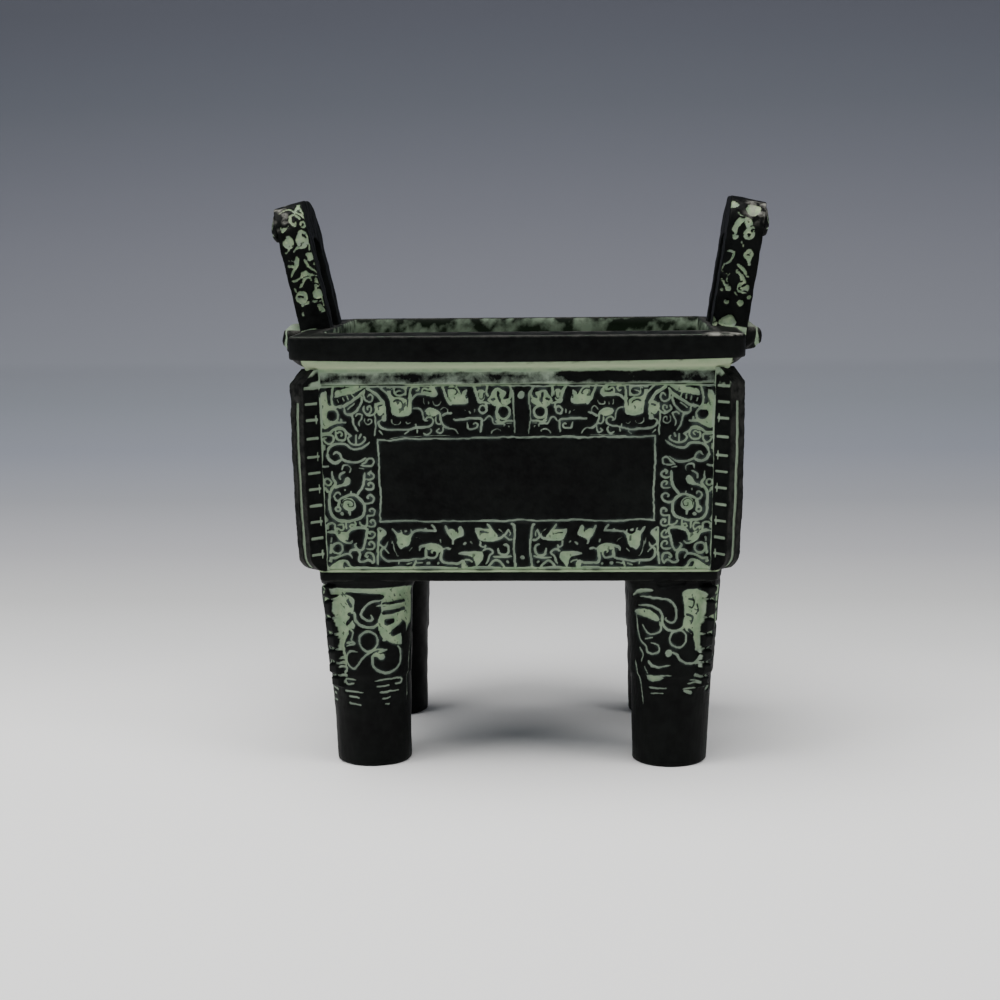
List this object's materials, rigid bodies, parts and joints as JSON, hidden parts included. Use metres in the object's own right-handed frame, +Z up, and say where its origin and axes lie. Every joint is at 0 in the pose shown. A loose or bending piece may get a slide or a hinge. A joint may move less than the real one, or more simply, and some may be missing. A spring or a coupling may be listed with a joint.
{
  "type": "square bronze ding",
  "caption": "Small cast-bronze copy of an ancient square ritual cauldron: hollow box on round legs with upright loop handles.",
  "frame": {"origin": "on the ground, under the middle of the vessel", "axes": "+Z up, +X along the long side between the handles, -Y towards the front wall"},
  "size_m": [0.1269, 0.086, 0.1413],
  "materials": {
    "bronze": "near-black cast bronze with pale green patina in the recesses"
  },
  "bodies": {
    "root": {"bronze_ding": "bronze"}
  },
  "joints": []
}
